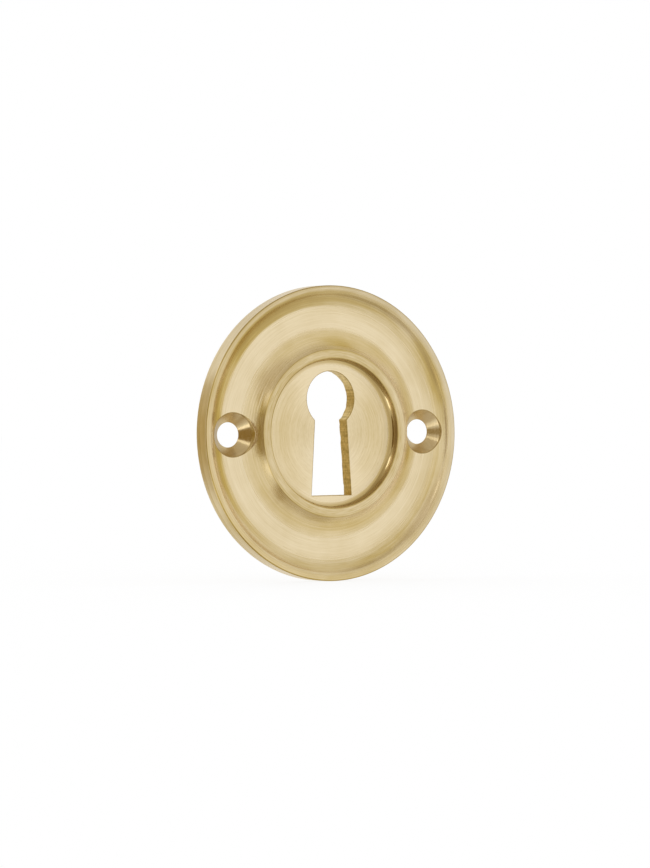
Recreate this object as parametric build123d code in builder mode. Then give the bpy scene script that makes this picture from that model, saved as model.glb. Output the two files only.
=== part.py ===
"""Round keyhole escutcheon for a door or drawer, turned from one piece of brass.

The flat back lies on the plane Y = 0 with its centre at the origin. The front faces -Y and +Z is up,
as the plate hangs on a door. All lengths are in millimetres and all angles in degrees.
"""

import os
from math import cos, radians, sin, sqrt, tan

from build123d import *

# Keyhole
keyhole_height = 21.0        # top of the round end to the foot of the slot
round_end_diameter = 9.4     # takes the stem of the key
slot_neck_width = 6.2        # where the slot leaves the round end
slot_foot_width = 7.9        # the slot flares towards its foot
neck_round = 0.5             # radius on the two corners of the neck

# Heights above the back, all set from the top of the ring
plate_thickness = 3.7        # back to the top of the ring, the thickest place
recess_depth = 1.3           # ring down to the floor round the keyhole
channel_depth = 1.9          # ring down to the floor of the channel
rim_drop = 0.7               # ring down to the top of the rim

# Widths of the turned rings, from the keyhole outwards
recess_margin = 2.15         # recess wall beyond the ends of the keyhole
recess_foot_round = 0.6      # tool radius where the recess wall meets its floor
ring_width = 1.5
inner_cove_run = 3.75        # hollow slope from the ring down to the channel
inner_cove_start = 6.0       # angle at which that slope leaves the channel floor
channel_width = 4.0
outer_cove_run = 2.0         # hollow slope from the channel up to the rim
rim_width = 1.1
rim_chamfer = 0.2            # breaks the front edge of the rim

# Screw holes
screw_setback = 4.85         # edge of the ring to the axis of each screw
screw_hole_diameter = 4.2    # clears a 4 mm wood screw
countersink_angle = 90.0
screw_land = 0.15            # straight wall left below the countersink

# Heights and radii that follow from them
recess_floor = plate_thickness - recess_depth
channel_floor = plate_thickness - channel_depth
rim_height = plate_thickness - rim_drop
ring_inner_radius = keyhole_height / 2 + recess_margin
ring_outer_radius = ring_inner_radius + ring_width
channel_inner_radius = ring_outer_radius + inner_cove_run
channel_outer_radius = channel_inner_radius + channel_width
rim_inner_radius = channel_outer_radius + outer_cove_run
outer_radius = rim_inner_radius + rim_width

round_end_radius = round_end_diameter / 2
round_end_centre = keyhole_height / 2 - round_end_radius
neck_height = round_end_centre - sqrt(round_end_radius**2 - (slot_neck_width / 2) ** 2)
slot_foot = -keyhole_height / 2

screw_spacing = 2 * (ring_outer_radius + screw_setback)
screw_radius = screw_hole_diameter / 2
countersink_radius = screw_radius + (channel_floor - screw_land) * tan(radians(countersink_angle / 2))

# Corners of the turned section, as distance from the axis and place along Y
side_top = (outer_radius, rim_chamfer - rim_height)
rim_outer = (outer_radius - rim_chamfer, -rim_height)
rim_inner = (rim_inner_radius, -rim_height)
channel_outer = (channel_outer_radius, -channel_floor)
channel_inner = (channel_inner_radius, -channel_floor)
ring_outer = (ring_outer_radius, -plate_thickness)
ring_inner = (ring_inner_radius, -plate_thickness)
wall_foot = (ring_inner_radius, -recess_floor - recess_foot_round)
floor_edge = (ring_inner_radius - recess_foot_round, -recess_floor)
floor_centre = (0, -recess_floor)
inner_cove_heading = (-cos(radians(inner_cove_start)), -sin(radians(inner_cove_start)))

with BuildPart() as escutcheon:
    # Half section, turned about the axis of the plate
    with BuildSketch(Plane.XY) as section:
        with BuildLine():
            Polyline(floor_centre, (0, 0), (outer_radius, 0), side_top, rim_outer, rim_inner)
            TangentArc(channel_outer, rim_inner, tangent=(1, 0))
            Line(channel_outer, channel_inner)
            TangentArc(channel_inner, ring_outer, tangent=inner_cove_heading)
            Polyline(ring_outer, ring_inner, wall_foot)
            TangentArc(wall_foot, floor_edge, tangent=(0, 1))
            Line(floor_edge, floor_centre)
        make_face()
    revolve(axis=Axis.Y)

    # Countersunk screw holes, one each side, sunk from the channel floor
    with Locations(Plane.XZ.offset(channel_floor)):
        with GridLocations(screw_spacing, 0, 2, 1):
            CounterSinkHole(screw_radius, countersink_radius, counter_sink_angle=countersink_angle)

    # Keyhole, straight through: a round end over a slot that flares to a flat foot
    with BuildSketch(Plane.XZ) as keyhole:
        with Locations((0, round_end_centre)):
            Circle(round_end_radius)
        with BuildLine():
            Polyline(
                (-slot_foot_width / 2, slot_foot),
                (slot_foot_width / 2, slot_foot),
                (slot_neck_width / 2, neck_height),
                (0, round_end_centre),
                (-slot_neck_width / 2, neck_height),
                close=True,
            )
        make_face()
        neck_corners = keyhole.vertices().group_by(Axis.Y)[1]
        fillet(neck_corners, neck_round)
    extrude(amount=plate_thickness, mode=Mode.SUBTRACT)

escutcheon.part.label = "escutcheon"
os.makedirs("parts", exist_ok=True)
export_step(escutcheon.part, "parts/escutcheon.step")
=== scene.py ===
import math

import bpy
import numpy as np
from mathutils import Matrix


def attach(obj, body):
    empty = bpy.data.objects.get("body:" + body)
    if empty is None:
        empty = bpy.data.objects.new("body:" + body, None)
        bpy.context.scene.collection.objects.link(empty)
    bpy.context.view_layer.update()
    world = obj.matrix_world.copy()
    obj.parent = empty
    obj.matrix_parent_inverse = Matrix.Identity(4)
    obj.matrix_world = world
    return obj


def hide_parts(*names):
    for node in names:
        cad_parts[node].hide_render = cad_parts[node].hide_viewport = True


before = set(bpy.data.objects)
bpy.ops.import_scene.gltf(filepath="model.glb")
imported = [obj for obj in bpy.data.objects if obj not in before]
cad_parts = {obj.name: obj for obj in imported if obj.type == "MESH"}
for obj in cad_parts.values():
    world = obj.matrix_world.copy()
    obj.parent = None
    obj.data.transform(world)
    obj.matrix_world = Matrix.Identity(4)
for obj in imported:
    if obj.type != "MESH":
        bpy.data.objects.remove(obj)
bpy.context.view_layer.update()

mm = 0.001                      # sizes below are in millimetres, meshes are in metres
print("frame loaded:", sorted(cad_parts))


# The plate: one turned section

plate = {
    "columns": 360,             # steps round the axis
    "thickness": 3.7,           # back to the top of the ring
    "floorHeight": 2.4,         # recess round the keyhole
    "channelHeight": 1.8,       # hollow channel
    "rimHeight": 3.0,
    "recessRadius": 12.65,      # wall of the recess, and inner edge of the ring
    "footRound": 0.9,           # tool radius at the foot of the recess wall
    "ringRadius": 14.15,        # outer edge of the ring
    "channelInner": 17.9,       # the channel floor starts here
    "innerCoveStart": 9.0,      # degrees, where the inner hollow leaves the channel floor
    "channelOuter": 21.6,       # the outer hollow starts here
    "rimInner": 23.9,
    "outerRadius": 25.0,
    "edgeBreak": 0.07,          # worn edges
    "rimBreak": 0.25,           # softer edge at the front of the rim
    "rimInnerBreak": 0.7,       # where the outer hollow rolls over onto the rim
    "sharpAngle": 32,           # degrees, steeper edges are shaded sharp
    # rows of the grid along each run of the section, and across its edges
    "steps": dict(foot=10, wall=6, ring=10, innerCove=16, channel=12, outerCove=14, rim=8, side=10,
                  edge=4, softEdge=8, back=4),
    # depth of gold, 0 pale to 1 deep, at distances from the axis
    # painted shade: the deeper gold in the hollows, at the foot and wall of the recess and in thin lines
    # along the edges
    "gold": (
        (0, 0.06), (11.6, 0.06), (11.95, 0.40), (12.3, 0.55), (12.5, 0.55),         # recess floor and foot
        (12.64, 0.40), (12.74, 0.60), (12.8, 0.295), (14.03, 0.295),                # ring
        (14.07, 0.38), (14.2, 0.38),                                                # its outer edge
        (14.26, 0.18), (15.0, 0.21), (16.0, 0.28), (17.2, 0.27), (17.75, 0.15),     # inner hollow
        (17.95, 0.06), (20.0, 0.07), (21.2, 0.16),                                  # channel
        (21.8, 0.38), (22.5, 0.44), (23.2, 0.36), (23.7, 0.32),                     # outer hollow
        (23.95, 0.27), (24.78, 0.27), (24.86, 0.70), (24.95, 0.70), (25.0, 0.16),   # rim, its edge and side
    ),
    # how plainly the tool marks show, in the same way
    "toolMarks": ((0, 0.6), (12.6, 0.6), (13.4, 1.5), (14.2, 0.5), (17.0, 0.4), (18.5, 0.5), (24.0, 0.7),
                  (25.0, 1.0)),
    # share of the roughness, in the same way: less at the foot of the recess and in the hollows, more on
    # the recess wall
    "satin": ((0, 1.0), (11.6, 1.0), (11.8, 0.5), (12.52, 0.5), (12.6, 2.0), (12.65, 2.0), (12.75, 1.0),
              (14.3, 1.0), (15.2, 0.8), (17.0, 0.8), (18.2, 1.0), (21.0, 1.0), (22.0, 0.8), (23.6, 0.8),
              (24.0, 1.0), (25.0, 1.0)),
    # painted reflections and shade: bands whose gold is uneven round the plate: from, to, change, a deepest
    # place in degrees round from the right, and how many such places there are
    "paintedReflectionBands": (
        (2.0, 10.5, 0.10, 0, 2), (7.7, 13.1, 0.10, 0, 2), (11.5, 12.9, 0.28, 0, 1),         # recess
        (13.6, 15.6, 0.15, 180, 1), (13.6, 15.6, 0.08, 82, 2), (15.0, 18.2, 0.07, 5, 1),    # inner hollow
        (19.6, 21.8, 0.06, 10, 1), (21.2, 23.0, 0.14, 132, 1), (21.2, 23.0, 0.07, 124, 2),  # channel's side
        (22.3, 24.1, 0.20, 85, 1), (22.3, 24.1, 0.12, 115, 2), (22.3, 24.1, 0.09, 16, 3),   # outer hollow
        (23.8, 25.4, 0.06, 110, 2),                                                         # rim
    ),
    # how much warmer the gold is, as rows of the same kind (no places means all round)
    "warmerGold": (
        (6.0, 12.5, 0.04, 0, 0), (14.0, 17.6, 0.06, 0, 0), (14.0, 17.6, 0.03, -20, 1),
        (21.2, 23.0, -0.07, 88, 2), (21.2, 23.0, -0.03, 0, 1), (22.6, 24.3, -0.08, 78, 2),
        (22.6, 24.3, -0.06, 10, 1), (23.9, 25.3, -0.14, 40, 1), (23.9, 25.3, -0.04, 0, 0),
        (24.9, 25.1, -0.04, 0, 0),
    ),
    # streaks of painted highlights, glints, reflections and shade: place by radius and angle, half width in
    # mm, half length in degrees, and change of the gold
    "paintedLightAndChatter": (
        # recess and ring
        (8.5, 22, 4.0, 38, 0.09), (11.0, 135, 1.5, 20, 0.11), (11.0, 232, 1.5, 20, 0.11),
        # painted glints on the foot of the recess wall, and a painted dark line along the ring's inner edge
        (12.42, 24, 0.20, 12, -0.60), (12.42, -24, 0.20, 12, -0.60), (12.72, 145, 0.08, 40, 0.55),
        (13.4, 208, 0.6, 28, -0.10),
        # inner hollow
        (14.7, 180, 0.55, 15, 0.28), (14.6, 164, 0.45, 6, 0.20), (15.2, 83, 0.9, 13, 0.20),
        (15.2, 38, 0.9, 14, -0.15), (15.0, -38, 0.8, 14, -0.12), (15.8, -14, 0.6, 7, 0.16),
        (16.6, 218, 1.0, 16, 0.14), (17.0, 270, 0.7, 9, -0.14), (14.7, 125, 0.6, 18, -0.09),
        (14.8, 240, 0.6, 8, -0.14), (15.4, 274, 0.9, 10, 0.09), (15.9, 92, 0.7, 10, 0.08),
        (14.8, 77, 0.5, 8, 0.09), (15.8, 37, 0.7, 10, -0.08),
        # outer hollow
        (22.4, 20, 0.5, 12, 0.14), (23.3, 27, 0.55, 13, 0.36), (23.2, -8, 0.6, 12, -0.15),
        (22.6, 202, 0.5, 16, 0.18), (22.0, 180, 0.7, 9, 0.24), (23.6, 197, 0.45, 19, -0.27),
        (23.75, 160, 0.35, 16, -0.20), (21.9, 160, 0.3, 16, -0.15), (21.9, 75, 0.45, 25, -0.13),
        (23.0, -65, 0.8, 18, 0.16), (21.4, 118, 0.35, 28, -0.18), (23.1, 252, 0.7, 14, 0.13),
        (23.2, 47, 0.6, 9, -0.14), (23.2, -35, 0.6, 13, -0.21), (22.8, 152, 0.8, 9, -0.18),
        (22.8, 168, 0.35, 10, 0.14), (22.8, 197, 0.3, 9, 0.10), (22.75, 42, 0.35, 10, -0.10),
        # rim and side
        (24.0, 98, 0.25, 48, 0.24), (23.85, 128, 0.25, 18, 0.14), (25.0, 216, 0.05, 14, 0.18),
    ),
    # patches where the tool chattered, as rows of the same kind, so that its marks show more plainly
    "chatter": ((15.4, 157, 0.9, 9, 1.5),),
}


# Steps from 0 to 1 that crowd towards both ends: half of one less the cosine of an even turn.
def crowdedSteps(count):
    return (1 - np.cos(np.linspace(0, np.pi, count + 1))) / 2


# Straight run: the start plus a crowded share of the way to the end.
def straightRun(start, end, count):
    return np.add(start, np.outer(crowdedSteps(count), np.subtract(end, start)))


# Hollow run: the arc through both ends that leaves the first at a heading. It turns by twice the angle
# between heading and chord, and its radius is half the chord over the sine of that angle.
def hollowRun(start, end, heading, count, trimStart=0.0, trimEnd=0.0):
    chord = np.subtract(end, start)
    lean = np.arctan2(chord[1], chord[0]) - heading
    radius = np.hypot(*chord) / (2 * np.sin(lean))
    first = trimStart / abs(2 * lean * radius)
    last = 1 - trimEnd / abs(2 * lean * radius)
    turn = heading + 2 * lean * (first + (last - first) * crowdedSteps(count))
    across = radius * (np.sin(turn) - np.sin(heading))
    up = radius * (np.cos(heading) - np.cos(turn))
    return np.add(start, np.stack([across, up], axis=1))


# Broken edge: a quadratic Bezier curve between two points, or two rows of points, drawn towards the sharp
# corner between them.
def brokenEdge(before, corner, after, count):
    t = np.linspace(0, 1, count + 1).reshape(-1, *np.ones(np.ndim(before), int))
    return (1 - t) ** 2 * before + 2 * t * (1 - t) * np.asarray(corner) + t ** 2 * after


# Length along a line of points: the sum of the steps so far.
def lengthAlong(points):
    steps = np.linalg.norm(np.diff(points, axis=0), axis=-1)
    return np.concatenate([0 * steps[:1], np.cumsum(steps, axis=0)])


# The section from the recess floor outwards and round to the back, as radius and height, with the row at
# which each run starts. The flats are straight runs, the coves hollow runs, and a broken edge joins two runs.
def turnedSection(p):
    steps = p["steps"]
    e, b, w = p["edgeBreak"], p["rimBreak"], p["rimInnerBreak"]
    top, floor, channel, rim = p["thickness"], p["floorHeight"], p["channelHeight"], p["rimHeight"]
    recess, ringEdge, rimEdge, outer = p["recessRadius"], p["ringRadius"], p["rimInner"], p["outerRadius"]
    wallFoot = (recess, floor + p["footRound"])
    channelStart, channelEnd = (p["channelInner"], channel), (p["channelOuter"], channel)
    chordLean = math.atan2(top - channel, p["channelInner"] - ringEdge)
    coveHeading = math.radians(p["innerCoveStart"]) - 2 * chordLean     # so that it ends at its angle
    wall = straightRun(wallFoot, (recess, top - e), steps["wall"])
    ring = straightRun((recess + e, top), (ringEdge - e, top), steps["ring"])
    innerCove = hollowRun((ringEdge, top), channelStart, coveHeading, steps["innerCove"], trimStart=e)
    outerCove = hollowRun(channelEnd, (rimEdge, rim), 0, steps["outerCove"], trimEnd=w)
    rimLand = straightRun((rimEdge + w, rim), (outer - b, rim), steps["rim"])
    side = straightRun((outer, rim - b), (outer, e), steps["side"])
    runs = {
        "foot": hollowRun((recess - p["footRound"], floor), wallFoot, 0, steps["foot"]),
        "wall": wall,
        "ringInnerEdge": brokenEdge(wall[-1], (recess, top), ring[0], steps["edge"]),
        "ring": ring,
        "ringOuterEdge": brokenEdge(ring[-1], (ringEdge, top), innerCove[0], steps["edge"]),
        "innerCove": innerCove,
        "channel": straightRun(channelStart, channelEnd, steps["channel"]),
        "outerCove": outerCove,
        "rimInnerEdge": brokenEdge(outerCove[-1], (rimEdge, rim), rimLand[0], steps["softEdge"]),
        "rim": rimLand,
        "rimOuterEdge": brokenEdge(rimLand[-1], (outer, rim), side[0], steps["softEdge"]),
        "side": side,
        "backEdge": brokenEdge(side[-1], (outer, 0), np.array([outer - e, 0]), steps["edge"]),
    }
    starts = dict(zip(runs, np.cumsum([0] + [len(run) - 1 for run in runs.values()])))
    rows = np.concatenate([run[:-1] for run in runs.values()] + [runs["backEdge"][-1:]])
    return rows, starts


# Reads a table of pairs by distance from the axis, with straight lines between them.
def byRadius(pairs, radius):
    return np.interp(radius, *np.transpose(pairs))


# Uneven bands: the sum of each row's change times the cosine of the turn from its deepest place. A band is
# full over its middle third and fades out to both ends.
def unevenBands(rows, radius, turn):
    total = 0 * radius
    for first, last, change, deepest, places in rows:
        fromMiddle = np.abs(radius - (first + last) / 2) / (last - first)
        inBand = np.clip(3 * (0.5 - fromMiddle), 0, 1)
        total = total + change * inBand * np.cos(places * (2 * np.pi * turn - math.radians(deepest)))
    return total


# Painted streaks of light and shade, and patches of chatter: the sum of each row's change times a bell curve
# across it and one along it.
def paintedLightAndChatter(rows, radius, turn):
    total = 0 * radius
    for middle, place, width, length, change in rows:
        around = np.abs((360 * turn - place + 180) % 360 - 180)
        total = total + change * np.exp(-((radius - middle) / width) ** 2 - (around / length) ** 2)
    return total


# What the turned finish carries from place to place: the depth of gold and the plainness of the tool marks
# are read from their tables, the depth changed by the painted bands and streaks of light and shade and the
# plainness by the chatter, and the warmth is one plus its bands.
def turnedValues(p, radius, turn):
    # the painted reflections, shade and highlights of the bands and streaks
    uneven = unevenBands(p["paintedReflectionBands"], radius, turn) + paintedLightAndChatter(p["paintedLightAndChatter"], radius, turn)
    return {
        "goldDepth": byRadius(p["gold"], radius) + uneven,
        "toolMarks": byRadius(p["toolMarks"], radius) + paintedLightAndChatter(p["chatter"], radius, turn),
        "satin": byRadius(p["satin"], radius),
        "warmth": 1 + unevenBands(p["warmerGold"], radius, turn),
    }


# The keyhole, cut straight through

keyhole = {
    "height": 21.0,
    "roundEnd": 9.4,            # diameter of the round end
    "neckWidth": 6.2,
    "footWidth": 7.9,
    "neckRound": 0.5,
    "footSteps": 22,            # columns along half the foot
    "sideSteps": 75,            # along a side of the slot
    "neckSteps": 8,             # round a corner of the neck; the round end has the rest
    "wallRows": 12,
    "floorRows": 16,            # from the keyhole to the circles, on the front and on the back
    "edgeBreak": 0.10,
    "edgeMiddle": 0.3,          # share of the break at the middle of the edge
    # painted shade: a fine dark line along the keyhole's front edge
    "edgeShadeLine": 0.8,            # the front edge shows as a fine dark line
    "wallGoldAndShade": 0.25,           # depth of gold on the wall
    "torn": 0.13,               # how far the back edge is torn out
    "tornReach": 0.5,           # how far up the wall the tears reach
    "tornMix": 0.02,            # rows of the back that are this near to the keyhole are torn with it
    "bites": dict(width=9, seed=5),     # larger tears, smoothed over this many columns
    "biteGain": 1.9,            # the tears are the top of the uneven line: it is stretched by the gain,
    "biteCut": 0.9,             # and what lies under the cut is lost
    "jags": dict(width=4, seed=8),      # finer ones on top of them
    "jagShare": 0.35,
}


# The outline as one point a column. The neck corner is the circle of the neck radius that touches the
# slot's side and the round end from outside: its centre is where the side, moved out by the neck radius,
# meets the round end, grown by the same.
def keyholeOutline(k, columns):
    endRadius = k["roundEnd"] / 2
    endCentre = np.array([0, k["height"] / 2 - endRadius])
    foot = np.array([k["footWidth"] / 2, -k["height"] / 2])
    neckDrop = math.sqrt(endRadius ** 2 - (k["neckWidth"] / 2) ** 2)
    neck = np.array([k["neckWidth"] / 2, endCentre[1] - neckDrop])
    along = (neck - foot) / np.linalg.norm(neck - foot)
    out = np.array([along[1], -along[0]])
    start = foot + out * k["neckRound"] - endCentre
    back = start @ along
    reach = -back - math.sqrt(back ** 2 - start @ start + (endRadius + k["neckRound"]) ** 2)
    centre = endCentre + start + along * reach
    touch = centre - out * k["neckRound"]
    toEnd = endCentre - centre
    sideTurn = math.atan2(-out[1], -out[0]) % (2 * math.pi)
    endTurn = math.atan2(toEnd[1], toEnd[0])
    turns = np.linspace(sideTurn, endTurn, k["neckSteps"] + 1)[:-1, None]
    roundSteps = columns // 2 - k["footSteps"] - k["sideSteps"] - k["neckSteps"]
    sweep = np.linspace(endTurn - math.pi, math.pi / 2, roundSteps + 1)[:, None]
    half = np.concatenate([
        np.linspace((0, foot[1]), foot, k["footSteps"] + 1)[:-1],
        np.linspace(foot, touch, k["sideSteps"] + 1)[:-1],
        centre + k["neckRound"] * np.hstack([np.cos(turns), np.sin(turns)]),
        endCentre + endRadius * np.hstack([np.cos(sweep), np.sin(sweep)]),
    ])
    other = half[-2:0:-1] * (-1, 1)
    return np.roll(np.concatenate([half, other]), -columns // 4, axis=0)


# Uneven line: white noise from a fixed seed, smoothed round the loop over a width in columns, and scaled
# to run from 0 to 1.
def unevenLine(count, width, seed):
    noise = np.random.default_rng(seed).random(count)
    kernel = np.hanning(width + 2)[1:-1]
    line = np.real(np.fft.ifft(np.fft.fft(noise) * np.fft.fft(kernel, count)))
    return (line - line.min()) / np.ptp(line)


# Torn edge: the larger tears plus a share of the finer ones, full at the back and fading up the wall.
def tornEdge(k, columns, mix, height):
    bites = np.clip(unevenLine(columns, **k["bites"]) * k["biteGain"] - k["biteCut"], 0, 1)
    jags = k["jagShare"] * unevenLine(columns, **k["jags"])
    fade = np.clip(1 - height / k["tornReach"], 0, 1) * (mix < k["tornMix"])
    return k["torn"] * fade * (bites + jags)


# The screw holes, countersunk from the front

screwHole = {
    "fromAxis": 19.0,
    "sinkRadius": 3.75,         # at the channel floor
    "holeRadius": 2.1,
    "land": 0.15,               # straight wall left at the back
    "landBreak": 0.02,          # broken edges: cone to land, land to back, and the front of the sink
    "backBreak": 0.04,
    "edgeBreak": 0.06,
    "edgeMiddle": 0.35,         # share of the break at the middle of the edge
    "slopeBreak": 0.35,         # the edge is broken more for each mm that it climbs a hollow
    "wallRise": 0.1,            # mm of climb over which the short wall above the cone sets in
    "halfWindow": 15,           # columns each side that the hole's own grid takes over
    "collarRows": 18,
    "edgeRows": 4,
    "wallRows": 6,
    "coneRows": 12,
    "backRows": 12,
    # painted shade: a dark outline on the short wall above the cone and on its edge
    "wallGoldAndShade": 0.8,            # depth of gold on the short wall and its edge
    "wallFade": 0.25,           # less for each mm that the wall climbs
    "coneGold": 0.3,
    "coneShade": 0.5,           # deeper again down the cone's left side
}


# Rows of one hole's tube as distance from the hole's axis and height, with a column for each point of the
# window's edge. The collar slides each point straight towards the hole, at the section's own height. Then
# come the broken edge, a short wall where the sink cuts a hollow, the cone with its land, and the back.
def tubeRows(p, s, profile, hole, aim, reach):
    e, sink, drill = s["edgeBreak"], s["sinkRadius"], s["holeRadius"]
    channel = p["channelHeight"]
    sinkEdge = hole + sink * aim
    sinkHeight = np.interp(np.hypot(*sinkEdge.T), *profile.T)
    climb = np.clip(sinkHeight - channel, 0, 1)
    edge = e + s["slopeBreak"] * climb
    collar = reach + crowdedSteps(s["collarRows"])[1:, None] * (sink + edge - reach)
    collarPlan = hole + collar[..., None] * aim
    collarHeight = np.interp(np.hypot(collarPlan[..., 0], collarPlan[..., 1]), *profile.T)
    edgeHeight = collarHeight[-1]
    rises = np.clip((edgeHeight - channel) / s["wallRise"], 0, 1)
    wallOut = (1 - rises) * s["edgeMiddle"] * e
    wallDrop = edge * (s["edgeMiddle"] + (1 - s["edgeMiddle"]) * rises)
    collarEnd = np.stack([sink + edge, edgeHeight])
    wallTop = np.stack([sink + wallOut, edgeHeight - wallDrop])
    wallFoot = np.array([[sink - e], [channel - e]])
    wallShare = np.linspace(0, 1, s["wallRows"] + 1)[:, None, None]
    cone = straightRun((sink - e, channel - e), (drill + e, s["land"] + e), s["coneRows"])[1:]
    holeEdge = drill + s["backBreak"]
    land = [(drill, s["land"] - s["landBreak"]), (drill, s["backBreak"]), (holeEdge, 0)]
    backReach = holeEdge + crowdedSteps(s["backRows"])[1:-1, None] * (reach - holeEdge)
    rows = {
        "collar": np.stack([collar, collarHeight], axis=1),
        "edge": brokenEdge(collarEnd, np.stack([wallTop[0], sinkHeight]), wallTop, s["edgeRows"])[1:-1],
        "wall": wallTop + wallShare * (wallFoot - wallTop),
        "cone": np.concatenate([cone, land])[..., None] * np.ones(len(aim)),
        "back": np.stack([backReach, 0 * backReach], axis=1),
    }
    return rows, climb


# Rows of the plate's grid, each a mix, a circle's radius, an offset from the keyhole's outline and a height.
def gridRows(mix, radius, offset, height):
    return np.stack(np.broadcast_arrays(mix, radius, offset, height), axis=1)


# The first row again after the last, which closes a grid along its rows.
def closedRows(values):
    return np.concatenate([values, values[:1]])


# One closed grid: each column stands at its share of a turn, and its rows run up the keyhole wall, out over
# the front and home over the back. A point is the outline's, moved out along its normal, times one less the
# mix, plus the circle's times the mix.
def plateRows(p, k):
    n = p["columns"]
    turn = np.arange(n) * 2 * np.pi / n
    ring = np.stack([np.cos(turn), np.sin(turn)], axis=1)
    outline = keyholeOutline(k, n)
    tangent = np.roll(outline, -1, axis=0) - np.roll(outline, 1, axis=0)
    normal = np.stack([tangent[:, 1], -tangent[:, 0]], axis=1)
    normal /= np.linalg.norm(normal, axis=1)[:, None]

    section, starts = turnedSection(p)
    windowFirst, windowLast = starts["innerCove"], starts["rimInnerEdge"]
    windowRadii = section[windowLast:windowFirst - 1:-1, 0]     # the back repeats the front's circles here
    backEdge = np.linspace(section[-1, 0], windowRadii[0], p["steps"]["back"] + 1)[1:-1]
    backRadii = np.concatenate([backEdge, windowRadii])
    e = k["edgeBreak"]
    middle = e * k["edgeMiddle"]
    floor = p["floorHeight"]
    floorMix = crowdedSteps(k["floorRows"])
    runs = [
        gridRows([0], 0, e, 0),
        gridRows(0, 0, 0, e + (floor - 2 * e) * crowdedSteps(k["wallRows"])),
        gridRows([0], 0, middle, floor - middle),
        gridRows(floorMix[:-1], section[0, 0], e, floor),
        gridRows(1, section[:, 0], 0, section[:, 1]),
        gridRows(1, backRadii, 0, 0),
        gridRows(1 - floorMix[1:-1], backRadii[-1], e, 0),
    ]
    mix, radius, offset, height = np.concatenate(runs).T[:, :, None]
    edge = outline + (offset + tornEdge(k, n, mix, height))[..., None] * normal
    plan = (1 - mix[..., None]) * edge + (mix * radius)[..., None] * ring
    places = np.stack([plan[..., 0], np.broadcast_to(0 - height, plan.shape[:2]), plan[..., 1]], axis=-1)

    floorRow, frontRow, backRow = np.cumsum([len(run) for run in runs])[2:5]
    marks = {name: frontRow + start for name, start in starts.items()}
    marks.update(floor=floorRow, back=backRow)
    backWindow = backRow + len(backEdge)
    marks["windows"] = ((frontRow + windowFirst, frontRow + windowLast),
                        (backWindow, backWindow + windowLast - windowFirst))
    return places, marks, section, starts, lengthAlong(closedRows(outline))


# Quads of a grid of vertex numbers, closed round its columns; wound so that rows running outwards face
# the front.
def gridQuads(numbers, outwards=True):
    here, after = numbers[:-1], numbers[1:]
    quads = np.stack([here, after, np.roll(after, -1, 1), np.roll(here, -1, 1)], axis=-1)
    return quads if outwards else quads[..., ::-1]


# The same corners' values, with the last column closed on the first one turn later.
def gridValues(values, period=0.0, outwards=True):
    closed = np.concatenate([values, values[:, :1] + period], axis=1)
    corners = np.stack([closed[:-1, :-1], closed[1:, :-1], closed[1:, 1:], closed[:-1, 1:]], axis=-1)
    return corners if outwards else corners[..., ::-1]


turnedFinish, backFinish, wallFinish, sinkFinish = range(4)     # the four materials, in order


# The plate's grid with its two windows left open for the screw holes. Across the marks the UV map reads the
# distance along the section, and along them the share of a turn. On the keyhole wall it reads the distance
# round the outline and the height.
def plateGrid(p, k, s):
    places, marks, section, starts, around = plateRows(p, k)
    rowCount, n = places.shape[:2]
    floor, front, back = marks["floor"], marks["foot"], marks["back"]
    numbers = np.arange(rowCount * n).reshape(rowCount, n)
    radius = np.hypot(places[..., 0], places[..., 2])
    turn = np.unwrap(np.arctan2(places[..., 2], places[..., 0]), axis=1) / (2 * np.pi)
    turn -= np.round(turn[:, :1])
    sectionRun = section[0, 0] + lengthAlong(section)
    backRun = sectionRun[-1] + section[-1, 0]   # less the radius, this is the distance on over the back
    run = radius.copy()
    run[front:back] = sectionRun[:, None]
    run[back:] = backRun - radius[back:]

    values = turnedValues(p, radius, turn)
    values["goldDepth"][:floor] = k["wallGoldAndShade"]
    values["goldDepth"][back:] = 0
    # painted shade along the keyhole's front edge
    values["goldDepth"][floor - 1:floor + 1] = k["edgeShadeLine"]
    values["satin"][back:] = 1
    values["warmth"][:floor] = 1
    values["warmth"][back:] = 1

    isWall = (np.arange(rowCount) < floor)[:, None, None]
    wallU = gridValues(np.broadcast_to(around[:-1], (rowCount + 1, n)), around[-1])
    wallV = gridValues(closedRows(-places[..., 1]))
    finish = np.full((rowCount, n), turnedFinish)
    finish[:floor] = wallFinish
    finish[front:marks["ringInnerEdge"]] = sinkFinish
    finish[back - 1:] = backFinish
    keep = np.ones((rowCount, n), bool)
    for middle in (0, n // 2):
        columns = np.arange(middle - s["halfWindow"], middle + s["halfWindow"]) % n
        for first, last in marks["windows"]:
            keep[first:last, columns] = False
    patch = {
        "places": places.reshape(-1, 3),
        "quads": gridQuads(closedRows(numbers))[keep],
        "u": np.where(isWall, wallU, gridValues(closedRows(run)))[keep],
        "v": np.where(isWall, wallV, gridValues(closedRows(turn), 1.0))[keep],
        "finish": finish[keep],
        **{name: value.ravel() for name, value in values.items()},
    }
    base = {
        "places": patch["places"],
        "numbers": numbers,
        "windows": marks["windows"],
        "profile": section[:starts["rim"]],
        "run": sectionRun[:starts["rim"]],
        "backRun": backRun,
    }
    return patch, base


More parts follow.
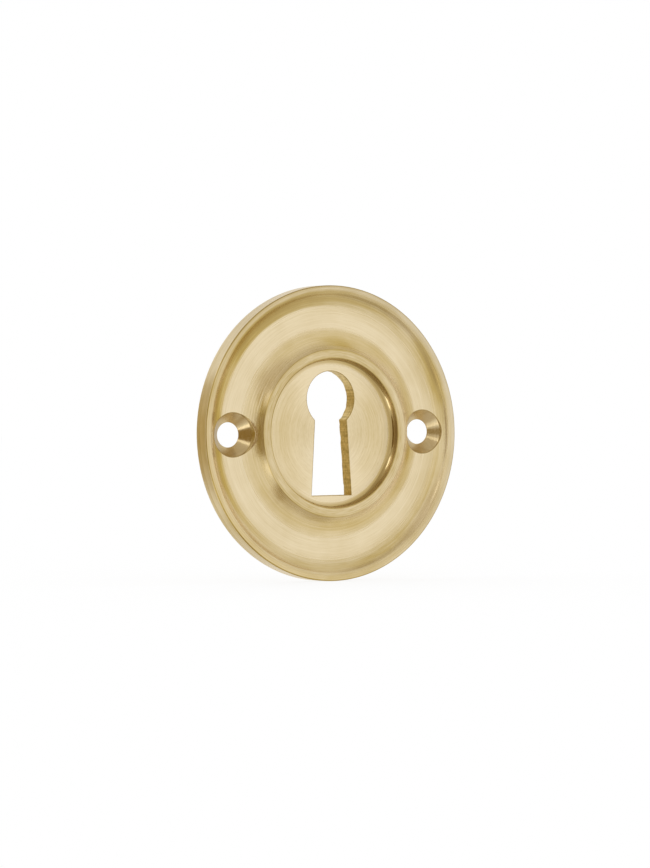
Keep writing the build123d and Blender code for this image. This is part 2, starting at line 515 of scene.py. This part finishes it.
# One hole's tube, from the window's edge on the front to the window's edge on the back. Its collar and its
# back carry on the plate's UV map, and the rest reads the depth drilled and the share of the hole's own turn.
def screwTube(p, s, base, middle, firstNumber):
    n = p["columns"]
    columns = np.arange(middle - s["halfWindow"], middle + s["halfWindow"] + 1) % n
    (frontFirst, frontLast), (backFirst, backLast) = base["windows"]
    windows = (base["numbers"][frontFirst:frontLast + 1, columns],
               base["numbers"][backFirst:backLast + 1, columns][::-1])
    loops = [np.concatenate([w[:-1, 0], w[-1, :-1], w[:0:-1, -1], w[0, :0:-1]]) for w in windows]
    frontLoop, backLoop = (base["places"][loop] for loop in loops)
    side = math.cos(2 * np.pi * middle / n)     # 1 on the right and -1 on the left
    hole = np.array([side * s["fromAxis"], 0])
    start = frontLoop[:, [0, 2]] - hole
    reach = np.linalg.norm(start, axis=1)
    aim = start / reach[:, None]
    rows, climb = tubeRows(p, s, base["profile"], hole, aim, reach)
    reaches, heights = np.concatenate(list(rows.values())).swapaxes(0, 1)
    plan = hole + reaches[..., None] * aim
    tube = np.stack([plan[..., 0], 0 - heights, plan[..., 1]], axis=-1)
    numbers = firstNumber + np.arange(heights.size).reshape(heights.shape)

    ends = dict(zip(rows, np.cumsum([len(part) for part in rows.values()])))
    places = np.concatenate([frontLoop[None], tube, backLoop[None]])
    radius = np.hypot(places[..., 0], places[..., 2])
    turn = np.arctan2(side * places[..., 2], side * places[..., 0]) / (2 * np.pi) + (1 - side) / 4
    holeTurn = np.broadcast_to(np.arange(len(aim)) / len(aim), turn.shape)
    strip = np.arange(len(places) - 1)
    isCollar = strip < ends["collar"]
    isBack = strip >= ends["cone"]
    isDrilled = ~isCollar & ~isBack
    frontU = gridValues(np.interp(radius, base["profile"][:, 0], base["run"]), 0, False)
    backU = gridValues(base["backRun"] - radius, 0, False)
    drilledU = gridValues(lengthAlong(places), 0, False)
    drilledV = gridValues(holeTurn, 1.0, False)
    u = np.select([isCollar[:, None, None], isBack[:, None, None]], [frontU, backU], drilledU)
    v = np.where(isDrilled[:, None, None], drilledV, gridValues(turn, 0, False))
    finish = np.select([isCollar, isBack], [turnedFinish, backFinish], sinkFinish)

    values = turnedValues(p, radius[1:-1], turn[1:-1])
    depth = values["goldDepth"]
    # painted shade: the sink's edge and short wall drawn as a dark outline
    depth[ends["collar"]:ends["edge"]] = s["wallGoldAndShade"] * (1 - climb)
    depth[ends["edge"]:ends["wall"]] = s["wallGoldAndShade"] - s["wallFade"] * climb
    # painted shade down the cone's left side
    depth[ends["wall"]:ends["cone"]] = s["coneGold"] + s["coneShade"] * np.clip(-aim[:, 0], 0, 1) ** 2
    depth[ends["cone"]:] = 0
    values["satin"][ends["collar"]:] = 1
    values["warmth"][ends["collar"]:] = 1
    return {
        "places": tube.reshape(-1, 3),
        "quads": gridQuads(np.concatenate([loops[0][None], numbers, loops[1][None]]), False).reshape(-1, 4),
        "u": u.reshape(-1, 4),
        "v": v.reshape(-1, 4),
        "finish": np.repeat(finish, len(aim)),
        **{name: value.ravel() for name, value in values.items()},
    }


# The plate is its grid and one tube a hole, as one mesh. Its volume is a sixth of the sum of each triangle's
# triple product.
def makePlate(p, k, s):
    patch, base = plateGrid(p, k, s)
    patches = [patch]
    for middle in (0, p["columns"] // 2):
        firstNumber = sum(len(done["places"]) for done in patches)
        patches.append(screwTube(p, s, base, middle, firstNumber))
    whole = {name: np.concatenate([part[name] for part in patches]) for name in patch}
    used, quads = np.unique(whole["quads"], return_inverse=True)
    quads = quads.reshape(-1, 4)
    places = whole["places"][used] * mm

    mesh = bpy.data.meshes.new("escutcheonPlate")
    mesh.from_pydata(places, [], quads.tolist())
    uvs = np.stack([whole["u"], whole["v"]], axis=-1)
    layer = mesh.uv_layers.new(name="turning")
    layer.uv.foreach_set("vector", uvs.astype(np.float32).ravel())
    mesh.polygons.foreach_set("material_index", whole["finish"].astype(np.int32))
    mesh.polygons.foreach_set("use_smooth", np.ones(len(quads), bool))
    for name in ("goldDepth", "toolMarks", "satin", "warmth"):
        layer = mesh.attributes.new(name, "FLOAT", "POINT")
        layer.data.foreach_set("value", whole[name][used].astype(np.float32))
    mesh.set_sharp_from_angle(angle=math.radians(p["sharpAngle"]))
    mesh.validate(clean_customdata=False)
    piece = bpy.data.objects.new("escutcheonPlate", mesh)
    bpy.context.scene.collection.objects.link(piece)
    a, b, c, d = places[quads].swapaxes(0, 1)
    volume = (np.einsum("ij,ij->", a, np.cross(b, c)) + np.einsum("ij,ij->", a, np.cross(c, d))) / 6
    print("plate made:", len(quads), "quads,", round(volume / mm ** 3), "cubic mm")
    return piece


escutcheonPlate = makePlate(plate, keyhole, screwHole)
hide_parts("escutcheon")
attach(escutcheonPlate, "root")


# Materials: all four are the same brass, finished by different tools

# sRGB hex to the linear values that the shader takes.
def linear(hexColour):
    parts = np.array([int(hexColour[i:i + 2], 16) for i in (1, 3, 5)]) / 255
    parts = np.where(parts <= 0.04045, parts / 12.92, ((parts + 0.055) / 1.055) ** 2.4)
    return (*parts.tolist(), 1.0)


# Adds a node and sets its properties and inputs, by name or number. An input that is given another node's
# output is linked to it.
def addNode(tree, kind, settings={}):
    node = tree.nodes.new(kind)
    for name, value in settings.items():
        if isinstance(value, bpy.types.NodeSocket):
            tree.links.new(value, node.inputs[name])
        elif isinstance(name, int) or name in node.inputs:
            node.inputs[name].default_value = value
        else:
            setattr(node, name, value)
    return node


# Lathe-turned brass: fine rings draw light out across them, so the flats shine in soft spokes,
# and the deeper gold of the hollows is painted shade.
turnedBrass = {
    "name": "turned satin brass",
    "pale": "#EBDAB6",
    "middle": "#BEA566",
    "deep": "#95793F",
    "roughness": 0.30,
    "roughChange": 0.10,        # how much the scratches change it
    "anisotropic": 0.83,
    "ringSpacing": 0.15,        # mm; the real feed of about 0.1 is too fine to show, so it is drawn coarser
    "ringChange": 0.5,          # how fast a ring changes along its turn
    "scratchSpacing": 0.16,     # mm; broken marks of the abrasive, coarser than the real ones too
    "scratchChange": 7.0,
    "markDetail": 1.5,          # octaves of finer marks in the rings and scratches, and how strong they are
    "markRoughness": 0.6,
    "cloudSize": 7.0,           # mm; soft patches where the brass is duller
    "cloudDetail": 3.0,
    "ringTone": 0.5,            # how much each pattern changes the depth of gold
    "scratchTone": 0.4,
    "cloudTone": 0.3,
    "grooveDepth": 0.010,       # mm
}

# Faced brass: the back is turned flat and left, duller and with plainer rings than the front.
facedBrass = dict(turnedBrass, name="faced brass back", pale="#E0CDA0", roughness=0.36, anisotropic=0.75,
                  ringSpacing=0.5, ringTone=0.8)

# Broached brass: the keyhole is forced through, so its wall is rough and a darker gold, scored from front
# to back.
broachedBrass = dict(turnedBrass, name="broached brass wall", pale="#E0C686", roughness=0.48, anisotropic=0.2,
                     ringSpacing=0.35, ringChange=0.0, scratchSpacing=0.3, scratchChange=30.0, cloudSize=0.5,
                     ringTone=1.6, scratchTone=0.8, cloudTone=1.5, grooveDepth=0.02)

# Countersunk brass: the drill leaves bright rings round each cone, so a lamp shows as a bar down its slope.
# The wall and the foot of the recess, left by a sharp tool, shine in the same way.
countersunkBrass = dict(turnedBrass, name="countersunk brass", pale="#E7D5B0", middle="#BEA670",
                        deep="#957B49", roughness=0.21, anisotropic=0.75, ringSpacing=0.25, scratchTone=0.2,
                        grooveDepth=0.005)


# Rings and scratches are noise read at the turned angle (a slow circle) and at the distance across the
# marks, so they have no seam, and clouds are noise in space. Each pattern, less a half, times its tone makes
# the gold paler or deeper. The depth picks the colour from pale to deep, and the warmth is its saturation.
def makeBrass(s):
    material = bpy.data.materials.new(s["name"])
    material.use_nodes = True
    tree = material.node_tree
    tree.nodes.clear()
    # the depth of gold carries the painted shade and highlights from the plate's tables
    depth, plain, warmth, satin = (
        addNode(tree, "ShaderNodeAttribute", {"attribute_name": name}).outputs["Fac"]
        for name in ("goldDepth", "toolMarks", "warmth", "satin")
    )
    marks = addNode(tree, "ShaderNodeUVMap", {"uv_map": "turning"})
    across = addNode(tree, "ShaderNodeSeparateXYZ", {0: marks.outputs["UV"]})
    spot = addNode(tree, "ShaderNodeTexCoord").outputs["Object"]
    flat = addNode(tree, "ShaderNodeVectorMath", {"operation": "MULTIPLY", 0: spot, 1: (1, 0, 1)})
    angle = addNode(tree, "ShaderNodeVectorMath", {"operation": "NORMALIZE", 0: flat.outputs[0]})
    patterns = []
    for spacing, change in ((s["ringSpacing"], s["ringChange"]), (s["scratchSpacing"], s["scratchChange"])):
        slow = addNode(tree, "ShaderNodeVectorMath", {
            "operation": "SCALE", 0: angle.outputs[0], "Scale": change})
        fine = addNode(tree, "ShaderNodeMath", {"operation": "DIVIDE", 0: across.outputs["X"], 1: spacing})
        line = addNode(tree, "ShaderNodeCombineXYZ", {"Y": fine.outputs[0]})
        place = addNode(tree, "ShaderNodeVectorMath", {
            "operation": "ADD", 0: slow.outputs[0], 1: line.outputs[0]})
        noise = addNode(tree, "ShaderNodeTexNoise", {
            "Vector": place.outputs[0], "Scale": 1.0,
            "Detail": s["markDetail"], "Roughness": s["markRoughness"]})
        patterns.append(noise.outputs["Fac"])
    rings, scratches = patterns
    clouds = addNode(tree, "ShaderNodeTexNoise", {
        "Vector": spot, "Scale": 1 / (s["cloudSize"] * mm), "Detail": s["cloudDetail"]}).outputs["Fac"]

    tones = (
        (rings, s["ringTone"], plain),
        (scratches, s["scratchTone"], plain),
        (clouds, s["cloudTone"], 1.0),
    )
    for pattern, tone, shown in tones:
        change = addNode(tree, "ShaderNodeMath", {
            "operation": "MULTIPLY_ADD", 0: pattern, 1: -tone, 2: tone / 2})
        depth = addNode(tree, "ShaderNodeMath", {
            "operation": "MULTIPLY_ADD", 0: change.outputs[0], 1: shown, 2: depth}).outputs[0]
    gold = addNode(tree, "ShaderNodeValToRGB", {"Fac": depth})
    gold.color_ramp.elements.new(0.5)   # the middle colour, between pale at 0 and deep at 1
    for stop, hexColour in zip(gold.color_ramp.elements, (s["pale"], s["middle"], s["deep"])):
        stop.color = linear(hexColour)
    tint = addNode(tree, "ShaderNodeHueSaturation", {"Color": gold.outputs["Color"], "Saturation": warmth})

    # the satin's share of the roughness, a little more or less with the scratches
    level = addNode(tree, "ShaderNodeMath", {
        "operation": "MULTIPLY_ADD", 0: satin, 1: s["roughness"], 2: -s["roughChange"] / 2})
    rough = addNode(tree, "ShaderNodeMath", {
        "operation": "MULTIPLY_ADD", 0: scratches, 1: s["roughChange"], 2: level.outputs[0]})
    height = addNode(tree, "ShaderNodeMath", {"operation": "ADD", 0: rings, 1: scratches})
    bump = addNode(tree, "ShaderNodeBump", {
        "Strength": 1.0, "Distance": s["grooveDepth"] * mm, "Height": height.outputs[0]})
    tangent = addNode(tree, "ShaderNodeTangent", {"direction_type": "UV_MAP", "uv_map": "turning"})
    shader = addNode(tree, "ShaderNodeBsdfPrincipled", {
        "Metallic": 1.0,
        "Anisotropic": s["anisotropic"],
        "Base Color": tint.outputs["Color"],
        "Roughness": rough.outputs[0],
        "Normal": bump.outputs[0],
        "Tangent": tangent.outputs["Tangent"],
    })
    addNode(tree, "ShaderNodeOutputMaterial", {"Surface": shader.outputs["BSDF"]})
    return material


for settings in (turnedBrass, facedBrass, broachedBrass, countersunkBrass):     # in the order of the finishes
    escutcheonPlate.data.materials.append(makeBrass(settings))
print("materials made:", len(escutcheonPlate.data.materials))


# Set, light and camera

studio = {
    "floorSize": 4000.0,
    "floorColour": "#FFFFFF",
    "floorGlow": 0.85,          # share of the floor's white that doesn't take shadow
    "cardDistance": 1500.0,
    "cardSteps": 40,
    "cardTaper": 0.999,         # a card without ends still keeps its tips open
}

# White paper: matt, and as bright as the white round it for what the camera, mirrors and glass see.
floorHalf = studio["floorSize"] / 2 * mm
floorZ = -plate["outerRadius"] * mm
floorMesh = bpy.data.meshes.new("floor")
floorMesh.from_pydata([(-floorHalf, -floorHalf, floorZ), (floorHalf, -floorHalf, floorZ),
                       (floorHalf, floorHalf, floorZ), (-floorHalf, floorHalf, floorZ)], [], [(0, 1, 2, 3)])
floor = bpy.data.objects.new("floor", floorMesh)
floor.visible_glossy = False    # the metal shows the set's own ground there
bpy.context.scene.collection.objects.link(floor)

paper = bpy.data.materials.new("white paper")
paper.use_nodes = True
tree = paper.node_tree
tree.nodes.clear()
path = addNode(tree, "ShaderNodeLightPath").outputs
seen = path["Is Camera Ray"]
for kind in ("Is Glossy Ray", "Is Transmission Ray"):
    seen = addNode(tree, "ShaderNodeMath", {"operation": "MAXIMUM", 0: seen, 1: path[kind]}).outputs[0]
share = addNode(tree, "ShaderNodeMath", {"operation": "MULTIPLY", 0: seen, 1: studio["floorGlow"]})
matt = addNode(tree, "ShaderNodeBsdfDiffuse", {"Color": linear(studio["floorColour"])})
white = addNode(tree, "ShaderNodeEmission", {"Color": (1, 1, 1, 1), "Strength": 1.0})
mixed = addNode(tree, "ShaderNodeMixShader", {0: share.outputs[0], 1: matt.outputs[0], 2: white.outputs[0]})
addNode(tree, "ShaderNodeOutputMaterial", {"Surface": mixed.outputs[0]})
floorMesh.materials.append(paper)

# Cards and lamps of the set, only seen in the metal. Each is a patch of a sphere about a place on the plate:
# azimuth (0 straight in front, + to the right) and elevation ranges in degrees, and the share of its height
# that its ends keep.
cards = {
    "nearCard": dict(about=(-16, -3, 0), distance=45, azimuth=(-78, -35), elevation=(-31, 31), ends=0.6,
                     colour="#9C824C"),
    "lowCard": dict(about=(-10, -3, -10), distance=30, azimuth=(-56, -12), elevation=(-60, -41), ends=0.5,
                    colour="#AE9868"),
    "farCard": dict(azimuth=(-64, -46), elevation=(-24, 24), ends=0.3, colour="#9C8A5A"),
    "leftBack": dict(azimuth=(-182, -112), elevation=(-30, 30), ends=0.0, colour="#BCA665"),
    "upperLamp": dict(azimuth=(-84, -53), elevation=(28, 42), distance=1400,
                      colour="#FFFFFF", strength=2.0),
    "lowerLamp": dict(azimuth=(-84, -53), elevation=(-42, -28), distance=1400,
                      colour="#FFFFFF", strength=2.2),
    "upperLeft": dict(azimuth=(-80, 0), elevation=(20, 58), colour="#DAD2C4"),
    "lowerLeft": dict(azimuth=(-80, 0), elevation=(-58, -49), colour="#DAD2C4"),
    "ceiling": dict(azimuth=(-180, 180), elevation=(58, 90), colour="#D2CABC"),
    "ground": dict(azimuth=(-180, 180), elevation=(-90, -58), colour="#D2CABC"),
}


# Card: the point of a sphere at each azimuth and elevation. Its height shrinks evenly from the middle to
# the share that its ends keep.
def cardPatch(c):
    steps = np.linspace(-1, 1, studio["cardSteps"] + 1)
    across, upward = np.meshgrid(steps, steps)
    upward = upward * (1 - (1 - c.get("ends", 1.0)) * studio["cardTaper"] * np.abs(across))
    azimuth = np.radians(np.mean(c["azimuth"]) + np.ptp(c["azimuth"]) / 2 * across)
    elevation = np.radians(np.mean(c["elevation"]) + np.ptp(c["elevation"]) / 2 * upward)
    level = np.cos(elevation)
    sphere = np.stack([np.sin(azimuth) * level, -np.cos(azimuth) * level, np.sin(elevation)], axis=-1)
    return (sphere * c.get("distance", studio["cardDistance"]) + c.get("about", (0, 0, 0))) * mm


for name, c in cards.items():
    patch = cardPatch(c)
    at = np.arange(patch[..., 0].size).reshape(patch.shape[:2])
    quads = np.stack([at[:-1, :-1], at[:-1, 1:], at[1:, 1:], at[1:, :-1]], axis=-1).reshape(-1, 4)
    cardMesh = bpy.data.meshes.new(name)
    cardMesh.from_pydata(patch.reshape(-1, 3), [], quads.tolist())
    glow = bpy.data.materials.new(name)
    glow.use_nodes = True
    tree = glow.node_tree
    tree.nodes.clear()
    light = addNode(tree, "ShaderNodeEmission", {
        "Color": linear(c["colour"]), "Strength": c.get("strength", 1.0)})
    addNode(tree, "ShaderNodeOutputMaterial", {"Surface": light.outputs[0]})
    cardMesh.materials.append(glow)
    card = bpy.data.objects.new(name, cardMesh)
    card.visible_camera = card.visible_diffuse = card.visible_shadow = card.visible_transmission = False
    bpy.context.scene.collection.objects.link(card)

world = bpy.data.worlds.new("studio")
bpy.context.scene.world = world
world.use_nodes = True
tree = world.node_tree
tree.nodes.clear()
background = addNode(tree, "ShaderNodeBackground", {"Color": (1, 1, 1, 1), "Strength": 1.0})
addNode(tree, "ShaderNodeOutputWorld", {"Surface": background.outputs[0]})

view = {
    "azimuth": -32.538,         # degrees, to the left of straight on
    "elevation": 0.581,
    "roll": -0.649,
    "distance": 700.0,
    "focalPixels": 4128.66,     # focal length in pixels of a picture that is this tall
    "pictureHeight": 868,
    "sensor": 36.0,
    "shiftAcross": 0.290,       # the camera's own place, moved sideways and up
    "shiftUp": -0.142,
    "clip": (0.01, 20.0),       # metres
}
azimuth, elevation, roll = (math.radians(view[key]) for key in ("azimuth", "elevation", "roll"))
level = math.cos(elevation)
back = np.array([math.sin(azimuth) * level, -math.cos(azimuth) * level, math.sin(elevation)])
right = np.cross(-back, (0, 0, 1))
right /= np.linalg.norm(right)
up = np.cross(right, -back)
right, up = math.cos(roll) * right + math.sin(roll) * up, math.cos(roll) * up - math.sin(roll) * right
place = back * view["distance"] + right * view["shiftAcross"] + up * view["shiftUp"]
lens = bpy.data.cameras.new("camera")
lens.sensor_width = view["sensor"]
lens.lens = view["focalPixels"] / view["pictureHeight"] * view["sensor"]
lens.clip_start, lens.clip_end = view["clip"]
camera = bpy.data.objects.new("camera", lens)
bpy.context.scene.collection.objects.link(camera)
pose = np.eye(4)
pose[:3] = np.stack([right, up, back, place * mm], axis=1)
camera.matrix_world = Matrix(pose.tolist())
bpy.context.scene.camera = camera
bpy.context.scene.view_settings.view_transform = "Standard"
print("set, light and camera made")
